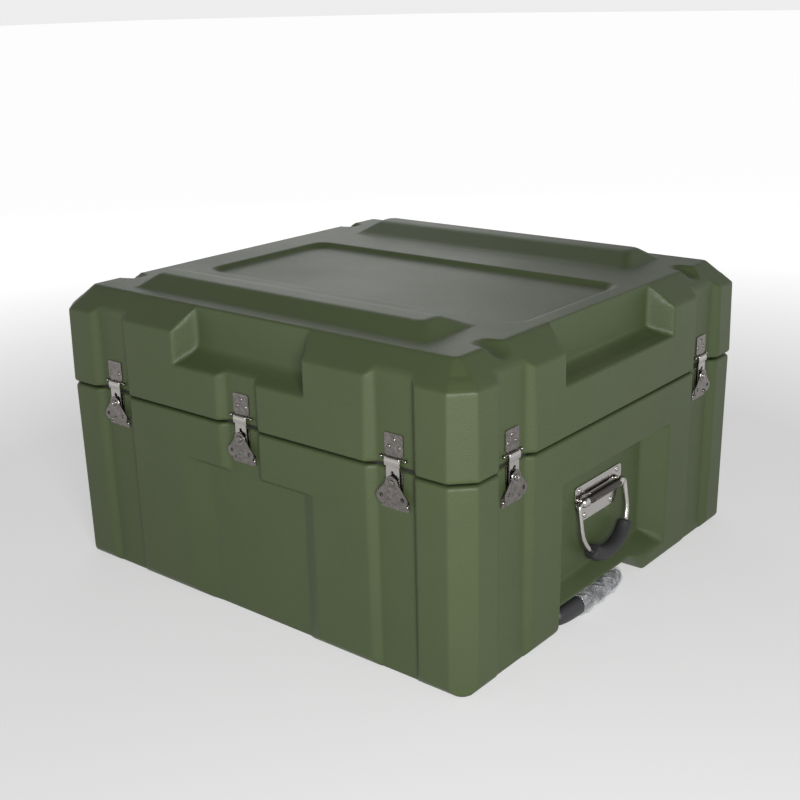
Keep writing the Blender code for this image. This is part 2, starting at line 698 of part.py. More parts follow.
def make_wheels():
    bore, edge = AXLE_RADIUS + 0.0005, 0.003
    profile = [(bore, WHEEL_HALF), (WHEEL_RADIUS - edge, WHEEL_HALF), (WHEEL_RADIUS, WHEEL_HALF - edge),
               (WHEEL_RADIUS, edge - WHEEL_HALF), (WHEEL_RADIUS - edge, -WHEEL_HALF), (bore, -WHEEL_HALF)]
    wheel = turned("wheel", profile, 20)
    cheek, thick = WHEEL_HALF + 0.0008, 0.0018
    top = WELL_TOP - WHEEL_Z - GAP
    cheeks = [box("cheek", (-0.013, min(s * cheek, s * (cheek + thick)), -0.010),
                  (0.013, max(s * cheek, s * (cheek + thick)), top)) for s in (-1, 1)]
    crown = box("crown", (-0.013, -cheek - thick / 2, top - thick), (0.013, cheek + thick / 2, top))
    axle = rod("axle", (0, -cheek - thick, 0), (0, cheek + thick, 0), AXLE_RADIUS, segments=12)
    bracket = combined("wheel_bracket", crown, adds=cheeks + [axle])
    for where, side in (("front", -1), ("back", 1)):
        place = Matrix.Translation((WHEEL_X, side * WHEEL_Y, WHEEL_Z))
        put(f"wheel_{where}", wheel, BLACK, place)
        put(f"wheel_bracket_{where}", bracket, STEEL, place)


make_base()
make_lid()
make_gasket()
make_latches()
make_carry_handles()
make_pull_handle()
make_wheels()
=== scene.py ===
import math

import bmesh
import bpy
import numpy as np
from mathutils import Matrix, Vector


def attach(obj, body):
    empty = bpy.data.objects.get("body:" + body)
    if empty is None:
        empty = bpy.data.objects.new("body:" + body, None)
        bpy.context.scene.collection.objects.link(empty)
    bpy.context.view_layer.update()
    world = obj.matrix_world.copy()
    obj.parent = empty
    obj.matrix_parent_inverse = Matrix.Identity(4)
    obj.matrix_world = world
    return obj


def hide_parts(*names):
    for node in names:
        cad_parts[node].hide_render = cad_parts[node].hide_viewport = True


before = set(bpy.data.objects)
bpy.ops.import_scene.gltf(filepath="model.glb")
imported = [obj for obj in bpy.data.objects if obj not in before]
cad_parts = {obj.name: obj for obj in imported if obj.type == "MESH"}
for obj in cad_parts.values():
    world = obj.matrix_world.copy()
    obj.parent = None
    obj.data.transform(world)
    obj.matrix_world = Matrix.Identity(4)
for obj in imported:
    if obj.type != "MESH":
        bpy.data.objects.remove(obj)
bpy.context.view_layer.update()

# ---------------------------------------------------------------- studio
# A pale floor under a sky that is white at the horizon and grey above, with one small soft light
# at the case's near corner and a weak broad one behind it. The camera looks at the near corner
# from a little above it; its right, up and ahead directions and its place are set directly.
camera_data = bpy.data.cameras.new("camera")
camera_data.lens = 55.04
camera_data.sensor_width = 36.0
camera_data.clip_start, camera_data.clip_end = 0.05, 50.0
camera = bpy.data.objects.new("camera", camera_data)
bpy.context.scene.collection.objects.link(camera)
bpy.context.scene.camera = camera
right = np.array((0.775467, 0.631006, -0.021953))
upward = np.array((-0.183828, 0.258903, 0.948249))
ahead = np.array((-0.604035, 0.731300, -0.316767))
placing = np.eye(4)
placing[:3, 0], placing[:3, 1], placing[:3, 2] = right, upward, -ahead
placing[:3, 3] = (1.215118, -1.491805, 0.879935)
camera.matrix_world = Matrix(placing.tolist())

view_settings = bpy.context.scene.view_settings
view_settings.view_transform = "Standard"
view_settings.look = "None"

world = bpy.data.worlds.new("studio")
bpy.context.scene.world = world
world.use_nodes = True
sky_nodes, sky_links = world.node_tree.nodes, world.node_tree.links
way = sky_nodes.new("ShaderNodeTexCoord")
heights = sky_nodes.new("ShaderNodeSeparateXYZ")
fall_off = sky_nodes.new("ShaderNodeValToRGB")
for element, (position, grey) in zip(fall_off.color_ramp.elements, ((0.36, 1.0), (0.66, 0.20))):
    element.position, element.color = position, (grey, grey, grey, 1)
sky_links.new(way.outputs["Generated"], heights.inputs[0])
sky_links.new(heights.outputs["Z"], fall_off.inputs[0])
sky_links.new(fall_off.outputs[0], sky_nodes["Background"].inputs["Color"])
sky_nodes["Background"].inputs["Strength"].default_value = 0.85


def softbox(name, azimuth, elevation, distance, size, power):
    """Square area light aimed at the case's middle; azimuth 0 is in front and 90 at the +X end."""
    a, e = math.radians(azimuth), math.radians(elevation)
    away = np.array((math.sin(a) * math.cos(e), -math.cos(a) * math.cos(e), math.sin(e)))
    data = bpy.data.lights.new(name, "AREA")
    data.shape = "SQUARE"
    data.size = size
    data.energy = power
    lamp = bpy.data.objects.new(name, data)
    bpy.context.scene.collection.objects.link(lamp)
    side = np.cross((0, 0, 1), away)
    side /= np.linalg.norm(side)
    spot = np.eye(4)
    spot[:3, 0], spot[:3, 1], spot[:3, 2] = side, np.cross(away, side), away
    case_middle = np.array((0, 0, 0.25))
    spot[:3, 3] = away * distance + case_middle
    lamp.matrix_world = Matrix(spot.tolist())


softbox("key", 46, 15, 2.6, 0.8, 66)
softbox("back", 226, 25, 3.2, 1.6, 10)

FLOOR_REACH = 40
floor_mesh = bpy.data.meshes.new("floor")
floor_corners = [(x * FLOOR_REACH, y * FLOOR_REACH, 0) for x, y in ((-1, -1), (1, -1), (1, 1), (-1, 1))]
floor_mesh.from_pydata(floor_corners, [], [(0, 1, 2, 3)])
studio_floor = bpy.data.objects.new("floor", floor_mesh)
bpy.context.scene.collection.objects.link(studio_floor)


# ---------------------------------------------------------------- rotomoulded shells
# Olive polyethylene skins, about 6 mm thick, moulded with soft edges and a fine pebble grain.
# Each skin is one grid wrapped round the case, whose features are smooth steps in its depth.

class Wire:
    """A node socket that takes part in sums, so that shader maths reads as an expression."""

    def __init__(self, tree, socket):
        self.tree, self.socket = tree, socket

    def calc(self, operation, *others, clamp=False):
        return self.tree.node("ShaderNodeMath", {"operation": operation, "use_clamp": clamp},
                              dict(enumerate((self,) + others)))

    def __add__(self, other):
        return self.calc("ADD", other)

    def __sub__(self, other):
        return self.calc("SUBTRACT", other)

    def __rsub__(self, other):
        return (self * -1.0).calc("ADD", other)

    def __mul__(self, other):
        return self.calc("MULTIPLY", other)

    def between(self, low, high):
        """0 below low, 1 above high and a straight ramp between them."""
        return ((self - low) * (1.0 / (high - low))).calc("ADD", 0.0, clamp=True)

    __radd__ = __add__
    __rmul__ = __mul__


class Finish:
    """One material: its Principled shader, and one way to add any other node."""

    def __init__(self, name, colour, roughness, metallic=0.0):
        self.material = bpy.data.materials.new(name)
        self.material.use_nodes = True
        self.nodes = self.material.node_tree.nodes
        self.links = self.material.node_tree.links
        self.shader = self.nodes["Principled BSDF"]
        self.shader.inputs["Base Color"].default_value = (*colour, 1.0)
        self.shader.inputs["Roughness"].default_value = roughness
        self.shader.inputs["Metallic"].default_value = metallic
        self.place = self.node("ShaderNodeTexCoord", {}, {}, "Object")

    def node(self, kind, settings, inputs, output=0):
        """Adds a node of one kind: its settings first, then the values or links of its sockets."""
        made = self.nodes.new(kind)
        for key, value in settings.items():
            setattr(made, key, value)
        for key, value in inputs.items():
            if isinstance(value, Wire):
                self.links.new(value.socket, made.inputs[key])
            else:
                made.inputs[key].default_value = value
        return Wire(self, made.outputs[output])

    def noise(self, scale, detail=2.0, roughness=0.5):
        return self.node("ShaderNodeTexNoise", {}, {"Vector": self.place, "Scale": scale,
                                                    "Detail": detail, "Roughness": roughness})

    def mix(self, factor, first, second):
        """Colour between two colours, by a factor from 0 to 1."""
        made = self.nodes.new("ShaderNodeMix")
        made.data_type = "RGBA"
        for socket, value in zip((made.inputs[0], made.inputs[6], made.inputs[7]),
                                 (factor, first, second)):
            if isinstance(value, Wire):
                self.links.new(value.socket, socket)
            else:
                socket.default_value = value if isinstance(value, float) else (*value, 1.0)
        return Wire(self, made.outputs[2])

    def bump(self, height, depth, strength=1.0):
        made = self.node("ShaderNodeBump", {}, {"Height": height, "Distance": depth,
                                                "Strength": strength})
        self.feed("Normal", made)

    def feed(self, name, wire):
        self.links.new(wire.socket, self.shader.inputs[name])


def placed(name, mesh, finish, body, replaced=()):
    """Object of a finished mesh, with its finish, that rides on a body."""
    piece = bpy.data.objects.new(name, mesh)
    bpy.context.scene.collection.objects.link(piece)
    mesh.materials.clear()
    mesh.materials.append(finish.material)
    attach(piece, body)
    if replaced:
        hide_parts(*replaced)
    return piece


def low_of(a, b, soft):
    """Smaller of two fields, with the crease between them rounded off where they differ by less
    than soft: a quadratic blend of the two."""
    share = np.clip(0.5 + 0.5 * (b - a) / soft, 0.0, 1.0)
    return b + (a - b) * share - soft * share * (1 - share)


def high_of(a, b, soft):
    """Larger of two fields, with the crease between them rounded off in the same way."""
    return -low_of(-a, -b, soft)


def spaced(low, high, edges, fine, coarse, growth=0.42):
    """Positions from low to high whose spacing grows with the distance to the nearest edge."""
    walk = np.linspace(low, high, 6001)
    near = np.min(np.abs(walk[:, None] - np.asarray(edges)[None, :]), axis=1)
    step = np.clip(fine + near * growth, fine, coarse)
    count = np.concatenate(([0.0], np.cumsum(np.diff(walk) / step[:-1])))
    return np.interp(np.linspace(0, count[-1], int(math.ceil(count[-1])) + 1), count, walk)


def mirrored(half, edges, fine, coarse):
    """The same both ways from 0, from -half to half."""
    side = spaced(0.0, half, edges, fine, coarse)
    return np.concatenate((-side[:0:-1], side))


HALF_X, HALF_Y = 0.400, 0.384
LID_LEAN, BASE_LEAN, BASE_INSET = 0.0169, 0.0048, 0.0017
CORNER_CUT, CORNER_SHARE = 0.0293, 0.586
SHOULDER, LID_TOP, RAIL_TOP = 0.420, 0.454, 0.474
CHAMFER_RUN = 0.040
PARTING, RIM_GAP = 0.300, 0.0018
FLANGE = 0.024
FOOT_RUN, FOOT_RISE = 0.0095, 0.011
FACET_COLUMNS, ARC_COLUMNS = 17, 4
WALL = 0.006
CHANNEL_DEPTH, CHANNEL_SLOPE, CHANNEL_EDGE = 0.012, 0.93, 0.0022
FRONT_CHANNEL_AT, END_CHANNEL_AT = 0.279, 0.268
FRONT_CHANNEL_HALF, MIDDLE_CHANNEL_HALF, END_CHANNEL_HALF = 0.0305, 0.0298, 0.0315


def channel_field(u, floor, at, half):
    """A latch channel: a flat floor whose sides open at about 45 degrees, mirrored about u = 0."""
    off = np.abs(np.abs(u) - at) - half
    return high_of(floor + 0 * u, floor + off * CHANNEL_SLOPE, CHANNEL_EDGE)


def channels(u, floor, long_side):
    """All the latch channels of one wall: three on a long side and two on an end."""
    if long_side:
        return low_of(channel_field(u, floor, FRONT_CHANNEL_AT, FRONT_CHANNEL_HALF),
                      channel_field(u, floor, 0.0, MIDDLE_CHANNEL_HALF), 0.002)
    return channel_field(u, floor, END_CHANNEL_AT, END_CHANNEL_HALF)


def lid_depth(u, z, long_side):
    """How far the lid's wall stands from the middle of the case, at u along it and height z: the
    smaller of the drafted wall and its chamfer, cut by the channels and by the hand recess. The
    recess has a flat back, a floor that sweeps out below the sill and a sloping side each way."""
    half = HALF_Y if long_side else HALF_X
    wall = half - LID_LEAN * (z - PARTING)
    chamfer = half - LID_LEAN * (SHOULDER - PARTING) - (z - SHOULDER) * CHAMFER_RUN / (LID_TOP - SHOULDER)
    outer = low_of(wall, chamfer, 0.0028)
    if long_side:
        back, side, slope, sill, rise = 0.345, 0.113, 2.10, 0.388, 2.05
    else:
        back, side, slope, sill, rise = 0.359, 0.137, 2.30, 0.385, 3.70
    scoop = high_of(back + (sill - z) * rise, back + 0 * u, 0.022)
    recess = high_of(scoop, back + (np.abs(u) - side) * slope, 0.006)
    cut = channels(u, half - CHANNEL_DEPTH, long_side)
    return low_of(low_of(outer, cut, CHANNEL_EDGE), recess, 0.0028)


def box_distance(x, y, half_x, half_y, radius):
    """Distance outside a rounded rectangle, negative inside it."""
    dx, dy = np.abs(x) - half_x + radius, np.abs(y) - half_y + radius
    outside = np.hypot(np.maximum(dx, 0), np.maximum(dy, 0))
    return outside + np.minimum(np.maximum(dx, dy), 0) - radius


def lid_height(x, y):
    """Height of the lid's top over the plan: a flat plate with chamfered edges, a stacking rail
    along each long side, a shallow panel between the rails and a scooped notch at each end of
    each rail. A rail is the smallest of four slopes, which start at its foot, and of its top."""
    top_x = HALF_X - LID_LEAN * (SHOULDER - PARTING) - CHAMFER_RUN
    top_y = top_x - HALF_X + HALF_Y
    fall = (LID_TOP - SHOULDER) / CHAMFER_RUN
    ax, ay = np.abs(x), np.abs(y)
    z = low_of(LID_TOP + 0 * x, LID_TOP + (top_x - ax) * fall, 0.0020)
    z = low_of(z, LID_TOP + (top_y - ay) * fall, 0.0020)
    facet = top_x + top_y - 0.0059
    z = low_of(z, LID_TOP + (facet - ax - ay) / math.sqrt(2) * fall, 0.0020)
    foot_out, foot_in, foot_end = 0.3175, 0.2035, 0.2853
    outer = LID_TOP + (foot_out - ay) * 0.645
    inner = LID_TOP + (ay - foot_in) * 0.435
    ends = LID_TOP + (foot_end - ax) * 0.86
    rail = low_of(low_of(outer, ends, 0.010), inner, 0.007)
    rail = low_of(rail, RAIL_TOP + 0 * x, 0.0030)
    z = high_of(z, rail, 0.0022)
    panel_x, panel_y, panel_depth = 0.021, -0.028, 0.0080
    panel_edge = box_distance(x - panel_x, y - panel_y, 0.308, 0.140, 0.030)
    panel = high_of(LID_TOP + 0.95 * panel_edge, LID_TOP - panel_depth + 0 * x, 0.0022)
    z = low_of(z, panel, 0.0012)
    notch_x, notch_y, notch_half, notch_floor = 0.350, 0.266, 0.0205, 0.4455
    off = np.hypot(np.minimum(ax - notch_x, 0) * 0.80, ay - notch_y)
    notch = notch_floor - (ax - notch_x) * 0.30 + (off / notch_half) ** 3 * 0.0105
    return low_of(z, notch, 0.0010)


def base_depth(u, z, side, above):
    """How far the base's wall stands from the middle of the case, at a height above its lower
    edge: a drafted wall with a chamfer along the floor, except on side 3, cut by the channels and
    by the long sides' shallow panels or the ends' deep handle recesses."""
    long_side = side in (0, 2)
    half = HALF_Y if long_side else HALF_X
    outer = half - BASE_INSET - BASE_LEAN * (PARTING - z)
    if side != 3:
        outer = low_of(outer, outer - FOOT_RUN + above * FOOT_RUN / FOOT_RISE, 0.0025)
    outer = low_of(outer, channels(u, half - CHANNEL_DEPTH, long_side), CHANNEL_EDGE)
    if long_side:
        back, left, right, head = 0.3705, 0.075, 0.113, 0.2225
        flanks = high_of(back + (-u - left) * 0.225, back + (u - right) * 0.421, 0.001)
        recess = high_of(flanks, back + (z - head) * 1.35, 0.0020)
        recess = high_of(recess, back + 0 * u, 0.0012)
        depth = low_of(outer, recess, 0.0014)
    else:
        back, half_width, head, sill = 0.362, 0.130, 0.2215, 0.0545
        recess = high_of(back + (np.abs(u) - half_width) * 1.45, back + (z - head) * 3.4, 0.008)
        recess = high_of(recess, back + (sill - z) * 1.45, 0.005)
        recess = high_of(recess, back + 0 * u, 0.005)
        depth = low_of(outer, recess, 0.0035)
    edge = 0.0022
    return depth - edge + np.sqrt(np.maximum(edge ** 2 - (edge - np.clip(above, 0, edge)) ** 2, 0))


def base_bottom(x, y):
    """Height of the underside over the plan: flat on the floor, raised over the pull handle's
    tunnel, in the two wheel wells and along the kicked-up edge of the wheel end."""
    tunnel_front, tunnel_back, tunnel_end, tunnel_top = -0.1585, 0.105, -0.0955, 0.036
    tunnel = low_of((y - tunnel_front) * 12.0, (tunnel_back - y) * 0.90, 0.004)
    tunnel = low_of(low_of(tunnel, (x - tunnel_end) * 12.0, 0.004), tunnel_top + 0 * x, 0.003)
    well_y, well_half, well_end, well_top = 0.3335, 0.0158, -0.3315, 0.068
    well = low_of((well_half - np.abs(np.abs(y) - well_y)) * 30.0, (well_end - x) * 30.0, 0.004)
    well = low_of(well, well_top + 0 * x, 0.003)
    kick_end, kick_top = -0.3795, 0.021
    kick = low_of((kick_end - x) * 2.6, kick_top + 0 * x, 0.004)
    return high_of(high_of(high_of(tunnel, well, 0.001), kick, 0.002), 0 * x, 0.002)


def turned_side(u, depth, z, side):
    """World points of a wall: side 0 is the front, and each next one is a quarter turn on."""
    turn = side * math.pi / 2
    x = u * math.cos(turn) + depth * math.sin(turn)
    y = u * math.sin(turn) - depth * math.cos(turn)
    return np.stack((x, y, z), axis=-1)


def level(heights, columns):
    """The same height all round for each row, as one array of rows by columns for each side."""
    return [np.repeat(np.asarray(heights, float)[:, None], len(columns[side % 2]), axis=1)
            for side in range(4)]


def ring_rows(heights, inset, depth_of, columns, straight, feet=None, ground=None):
    """Rows of points round the case. heights has one array for each side, inset says how far each
    row's corners stand inside the outer size, and depth_of(u, z, side) is the wall. Between two
    walls lies a facet whose upright edges are rounded by quadratic curves. Columns beyond the
    straight stretch close up as the wall gets shorter. feet is how far each side's floor chamfer
    has drawn in, which leaves the facet in its plane, and ground(x, y) is a facet point's height."""
    radius = 0.0065
    arc_points = np.arange(1, ARC_COLUMNS + 1) / (ARC_COLUMNS + 1)
    inset = np.asarray(inset, float)
    feet = [0 * inset] * 4 if feet is None else feet
    cut = np.maximum(CORNER_CUT - inset * CORNER_SHARE, 0.0)
    sides = []
    for side in range(4):
        end = (HALF_X, HALF_Y)[side % 2] - inset - cut + feet[side]
        reach = np.minimum(radius * 0.414, np.maximum(cut - 2 * feet[side], 0) * 0.3)
        u0, flat = columns[side % 2], straight[side % 2]
        share = np.clip((np.abs(u0) - flat) / (u0[-1] - flat), 0, 1)[None, :]
        moved = flat + share * ((end - reach)[:, None] - flat)
        u = np.where(share == 0, u0[None, :], np.sign(u0)[None, :] * moved)
        sides.append((u, depth_of(u, heights[side], side), heights[side], end))
    blocks = []
    for side in range(4):
        u, depth, z, end = sides[side]
        after = (side + 1) % 4
        next_u, next_depth, next_z, next_end = sides[after]
        blocks.append(turned_side(u, depth, z, side))
        start = blocks[-1][:, -1]
        corner_a = turned_side(end, depth[:, -1], z[:, -1], side)
        corner_b = turned_side(-next_end, next_depth[:, 0], next_z[:, 0], after)
        last = turned_side(next_u[:, 0], next_depth[:, 0], next_z[:, 0], after)
        span = corner_b - corner_a
        unit = span / np.maximum(np.linalg.norm(span, axis=1, keepdims=True), 1e-6)
        after_a = corner_a + unit * np.linalg.norm(corner_a - start, axis=1, keepdims=True)
        before_b = corner_b - unit * np.linalg.norm(corner_b - last, axis=1, keepdims=True)
        turns = [[p * (1 - t) ** 2 + 2 * q * t * (1 - t) + r * t * t for t in arc_points]
                 for p, q, r in ((start, corner_a, after_a), (before_b, corner_b, last))]
        facet = [after_a + (before_b - after_a) * t
                 for t in np.linspace(0, 1, FACET_COLUMNS - 2 * ARC_COLUMNS)]
        corner = np.stack(turns[0] + facet + turns[1], axis=1)
        if ground is not None:
            corner[..., 2] = ground(corner[..., 0], corner[..., 1])
        blocks.append(corner)
    return np.concatenate(blocks, axis=1)


def ring_faces(rows, columns):
    """Quads between successive closed rows of points, facing out when the rows run upwards."""
    r, c = np.meshgrid(np.arange(rows - 1), np.arange(columns), indexing="ij")
    n = (c + 1) % columns
    return np.stack((r * columns + c, r * columns + n, (r + 1) * columns + n, (r + 1) * columns + c),
                    axis=-1).reshape(-1, 4)


def sheet_grid(xs, ys, height_of, first):
    """Height field over a rectangle, as points and quads that count from first and face up."""
    x, y = np.meshgrid(xs, ys, indexing="ij")
    points = np.stack((x, y, height_of(x, y)), axis=-1).reshape(-1, 3)
    i, j = np.meshgrid(np.arange(len(xs) - 1), np.arange(len(ys) - 1), indexing="ij")
    a = i * len(ys) + j
    return points, np.stack((a, a + len(ys), a + len(ys) + 1, a + 1), axis=-1).reshape(-1, 4) + first


def border_points(columns, border):
    """Plan points of a rectangle's edge that match the rows' columns; a corner's columns meet."""
    parts = []
    for side in range(4):
        u, out = columns[side % 2], border[(side + 1) % 2]
        parts.append(turned_side(u, out + 0 * u, 0 * u, side)[:, :2])
        parts.append(np.repeat(parts[-1][-1:], FACET_COLUMNS, axis=0))
    return np.concatenate(parts)


def closed_over(edge, columns, border, height_of, first):
    """Rows that run in from the last wall row to a rectangle, then a height field over it."""
    target = border_points(columns, border)
    rows = []
    for t in (0.05, 0.12, 0.21, 0.31, 0.42, 0.54, 0.66, 0.78, 0.89, 1.0):
        flat = edge[:, :2] + (target - edge[:, :2]) * t
        rows.append(np.column_stack((flat, height_of(flat[:, 0], flat[:, 1]))))
    sheet, quads = sheet_grid(columns[0], columns[1], height_of, first + len(rows) * len(edge))
    return np.stack(rows), sheet, quads


def flange_rows(heights, columns, straight):
    """Rows on the flange's inner edge, which the channels and recesses don't reach."""
    return ring_rows(level(heights, columns), np.full(len(heights), FLANGE),
                     lambda u, z, side: (HALF_Y, HALF_X)[side % 2] - FLANGE + 0 * u, columns, straight)


def closed_skin(blocks, columns, border, height_of):
    """Points and faces of a skin from its row blocks, closed over by a height field."""
    rows = np.concatenate(blocks)
    over, sheet, quads = closed_over(rows[-1], columns, border, height_of, rows.shape[0] * rows.shape[1])
    rows = np.concatenate((rows, over))
    points = np.concatenate((rows.reshape(-1, 3), sheet))
    return points, np.concatenate((ring_faces(rows.shape[0], rows.shape[1]), quads))


def lid_skin(grow, fine, coarse):
    """Lid skin moved in by grow: flange and rim, the wall, then over the shoulder to the top.
    Columns crowd together, down to fine apart, at the places where the features have their
    edges, and rows above the shoulder stretch up over the recesses' upper edges."""
    edges_x = (0.029, 0.042, 0.113, 0.131, 0.2485, 0.3095, 0.2355, 0.3225, 0.267, 0.289, 0.352)
    edges_y = (0.112, 0.137, 0.154, 0.168, 0.190, 0.2365, 0.2995, 0.2235, 0.3125, 0.241, 0.279,
               0.288, 0.336)
    border = (0.352 - grow * 1.4, 0.336 - grow * 1.4)
    columns = (mirrored(border[0], edges_x, fine, coarse), mirrored(border[1], edges_y, fine, coarse))
    straight = (0.326, 0.3155)
    bottom, rim = PARTING + RIM_GAP, 0.0055
    rim_angles = np.radians((90, 72, 54, 36, 18))

    def wall(u, z, side):
        return lid_depth(u, z, side in (0, 2)) - grow

    def inset(z):
        """How far the corners stand in at height z."""
        run = np.maximum(z - SHOULDER, 0) * CHAMFER_RUN / (LID_TOP - SHOULDER)
        return LID_LEAN * (np.minimum(z, SHOULDER) - PARTING) + run + grow

    blocks = []
    start = bottom + (WALL if grow else rim)
    if grow:
        blocks.append(flange_rows([start], columns, straight))
    else:
        blocks.append(flange_rows([bottom + WALL, bottom], columns, straight))
        for angle in rim_angles:
            height = start - rim * math.sin(angle)
            draw = rim * (1 - math.cos(angle))
            blocks.append(ring_rows(level([height], columns), [draw],
                                    lambda u, z, side: wall(u, z, side) - draw, columns, straight))
    last_row = 0.434
    nominal = spaced(start, last_row, (start, 0.372, 0.388, SHOULDER), fine, coarse)
    heights = []
    for side in range(4):
        recess_half, recess_top = ((0.124, 0.4495), (0.147, 0.4500))[side % 2]
        inside = np.clip((recess_half - np.abs(columns[side % 2])) / 0.012, 0, 1)
        stretch = 1 + inside * ((recess_top - SHOULDER) / (last_row - SHOULDER) - 1)
        above = np.maximum(nominal - SHOULDER, 0)[:, None] * stretch[None, :]
        heights.append(np.minimum(nominal, SHOULDER)[:, None] + above)
    blocks.append(ring_rows(heights, inset(nominal), wall, columns, straight))
    return closed_skin(blocks, columns, border, lambda x, y: lid_height(x, y) - grow)


def base_skin(grow, fine, coarse):
    """Base skin moved in by grow, built upside down: flange and rim, the wall, then under the
    bottom edge. Rows below the warp height are squeezed up over the tunnel, the wheel wells and
    the kicked-up edge."""
    edges_x = (0.029, 0.042, 0.075, 0.113, 0.1275, 0.141, 0.2485, 0.3095, 0.2355, 0.3225, 0.332, 0.366)
    edges_y = (0.065, 0.105, 0.130, 0.155, 0.1585, 0.2365, 0.2995, 0.2235, 0.3125, 0.3177, 0.3493)
    border = (0.366 - grow, 0.3518 - grow)
    columns = (mirrored(border[0], edges_x, fine, coarse), mirrored(border[1], edges_y, fine, coarse))
    straight = (0.3655 - grow, 0.3515 - grow)
    top, rim = PARTING - RIM_GAP, 0.0050

    def inset(z):
        """How far the corners stand in at height z."""
        return BASE_INSET + BASE_LEAN * (PARTING - z) + grow

    def under(x, y):
        return base_bottom(x, y) + grow

    blocks = []
    start = top - (WALL if grow else rim)
    if grow:
        blocks.append(flange_rows([start], columns, straight))
    else:
        blocks.append(flange_rows([top - WALL, top], columns, straight))
        for angle in np.radians((90, 72, 54, 36, 18)):
            height = start + rim * math.sin(angle)
            draw = rim * (1 - math.cos(angle))
            blocks.append(ring_rows(level([height], columns), [draw + inset(height)],
                                    lambda u, z, side: base_depth(u, z, side, z) - draw, columns, straight))
    warp = 0.100
    nominal = spaced(0.0, start, (0.0, 0.011, 0.030, 0.055, 0.2225, 0.231, start), fine, coarse)[::-1]

    def raised(lift):
        """Rows' heights where the lower edge is lifted, back to nominal at the warp height."""
        height = nominal[:, None]
        return np.where(height < warp, lift + height * (1 - lift / warp), height)

    heights, lifts = [], []
    for side in range(4):
        u = columns[side % 2]
        foot = turned_side(u, base_depth(u, 0 * u, side, 0 * u) - grow, 0 * u, side)
        lifts.append(under(foot[:, 0], foot[:, 1])[None, :])
        heights.append(raised(lifts[-1]))
    drawn_in = np.clip(1 - nominal / FOOT_RISE, 0, 1) * FOOT_RUN
    feet = [drawn_in, drawn_in, drawn_in, 0 * drawn_in]
    blocks.append(ring_rows(heights, inset(nominal),
                            lambda u, z, side: base_depth(u, z, side, z - lifts[side]) - grow,
                            columns, straight, feet, lambda x, y: raised(under(x, y))))
    points, faces = closed_skin(blocks, columns, border, under)
    return points, faces[:, ::-1]


def shell_mesh(name, outer, inner):
    """One mesh of an outer skin and of an inner skin that faces the other way."""
    points = np.concatenate((outer[0], inner[0]))
    faces = np.concatenate((outer[1], inner[1][:, ::-1] + len(outer[0])))
    mesh = bpy.data.meshes.new(name)
    mesh.from_pydata(points.tolist(), [], faces.tolist())
    bm = bmesh.new()
    bm.from_mesh(mesh)
    bmesh.ops.remove_doubles(bm, verts=bm.verts, dist=0.00002)
    bmesh.ops.dissolve_degenerate(bm, edges=bm.edges, dist=0.00001)
    bm.to_mesh(mesh)
    bm.free()
    mesh.shade_smooth()
    return mesh


olive = Finish("olive_polyethylene", (0.045, 0.060, 0.024), 0.46)
olive.shader.inputs["Specular IOR Level"].default_value = 0.24
pebble = olive.noise(420.0, 2.0, 0.55).between(0.36, 0.66)
cloud = olive.noise(3.2, 3.0, 0.6).between(0.30, 0.70)
olive.feed("Roughness", cloud * 0.07 + 0.41 + pebble * 0.05)
olive.feed("Base Color", olive.mix(olive.noise(11.0, 4.0, 0.6).between(0.3, 0.7) * 0.5 + cloud * 0.5,
                                   (0.041, 0.056, 0.022), (0.048, 0.063, 0.027)))
olive.bump(pebble + olive.noise(36.0, 2.0).between(0.2, 0.8) * 0.35, 0.00022, 0.55)
OUTSIDE_STEPS, INSIDE_STEPS = (0.0018, 0.016), (0.006, 0.030)
for word, moulded in (("lid", lid_skin), ("base", base_skin)):
    mesh = shell_mesh(word, moulded(0.0, *OUTSIDE_STEPS), moulded(WALL, *INSIDE_STEPS))
    placed(word, mesh, olive, word, [f"{word}_shell"])


# ---------------------------------------------------------------- latches
# Ten twist latches, pressed from nickel-plated steel, in the channels. A wing turns on the post of
# a plate riveted to the base, and its crank pin lifts a hook off the bar of the keeper, which is
# riveted to the lid. Wall coordinates run along, out of and up the wall from the post.

def stamped(outlines, low, high, edge=0.00035):
    """Plate on a wall, from low to high out of it, with its edges rounded over. Outlines are in wall
    coordinates (along, up); the first is the rim and the others are holes."""
    curve = bpy.data.curves.new("stamped", "CURVE")
    curve.dimensions, curve.fill_mode = "2D", "BOTH"
    curve.extrude = (high - low) / 2 - edge
    curve.bevel_depth, curve.bevel_resolution, curve.offset = edge, 1, -edge
    for outline in outlines:
        spline = curve.splines.new("POLY")
        spline.points.add(len(outline) - 1)
        for point, (x, y) in zip(spline.points, outline):
            point.co = (x, y, 0, 1)
        spline.use_cyclic_u = True
    upright = Matrix.Rotation(math.pi / 2, 4, "X")
    return from_curve(curve, Matrix.Translation((0, -(low + high) / 2, 0)) @ upright)


def from_curve(curve, place):
    """Mesh of a curve with its loose caps welded on."""
    guide = bpy.data.objects.new("guide", curve)
    bpy.context.scene.collection.objects.link(guide)
    mesh = bpy.data.meshes.new_from_object(guide.evaluated_get(bpy.context.evaluated_depsgraph_get()))
    bpy.data.objects.remove(guide, do_unlink=True)
    bm = bmesh.new()
    bm.from_mesh(mesh)
    bmesh.ops.remove_doubles(bm, verts=bm.verts, dist=0.000002)
    bm.transform(place)
    bm.to_mesh(mesh)
    bm.free()
    return mesh


